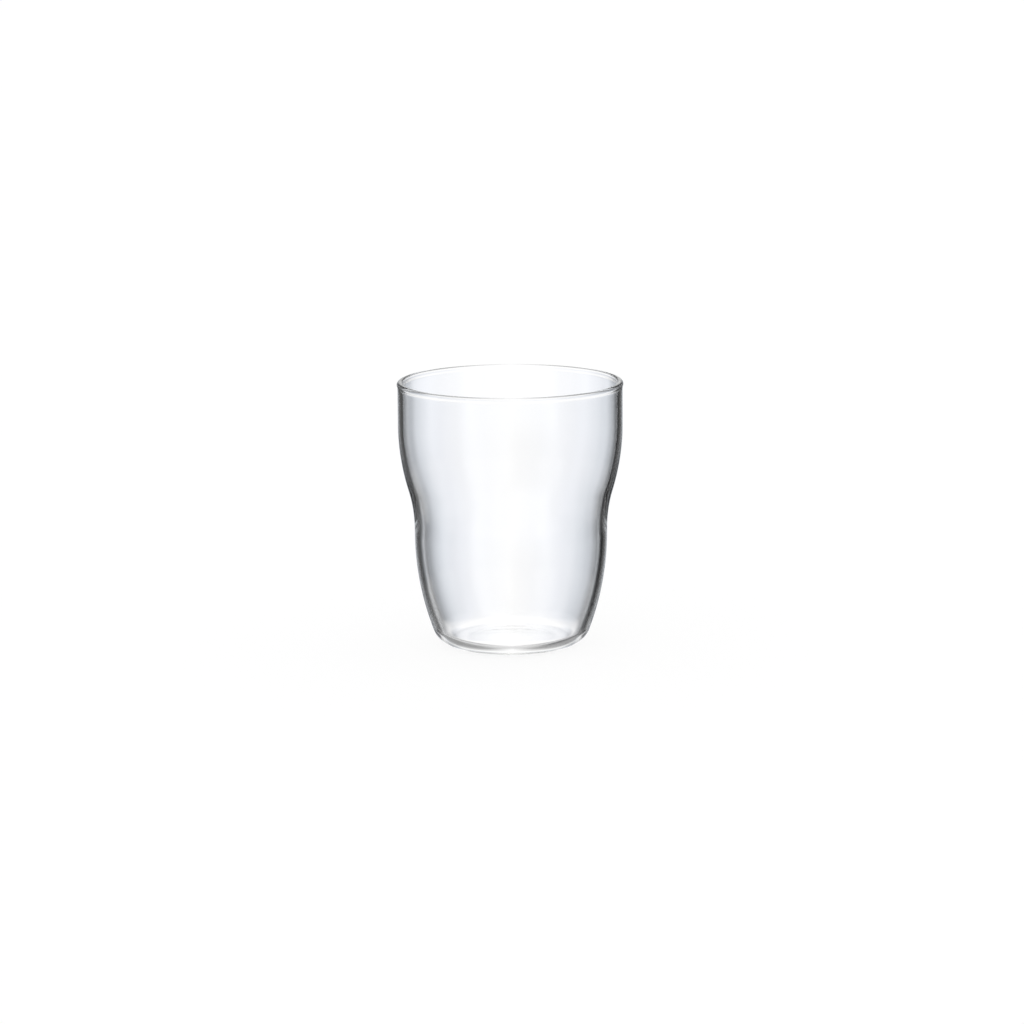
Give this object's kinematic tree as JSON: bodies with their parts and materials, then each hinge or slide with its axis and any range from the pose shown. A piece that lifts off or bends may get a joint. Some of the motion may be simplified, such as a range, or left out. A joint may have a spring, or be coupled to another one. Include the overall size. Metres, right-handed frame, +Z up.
{
  "type": "cortado glass",
  "caption": "Clear one-piece coffee glass with a wide straight mouth, a rounded shoulder that steps in to a narrower lower tier, a rounded heel and a flat foot; it holds a short milk coffee.",
  "frame": {"origin": "where the glass's axis meets the table, at the centre of the standing ring", "axes": "+Z up along the glass's axis, from the foot to the mouth; the glass is the same all round, so +X and +Y are free"},
  "size_m": [0.07, 0.07, 0.0826],
  "materials": {
    "glass": "clear, fire-polished"
  },
  "bodies": {
    "root": {"tumbler": "glass"}
  },
  "joints": []
}
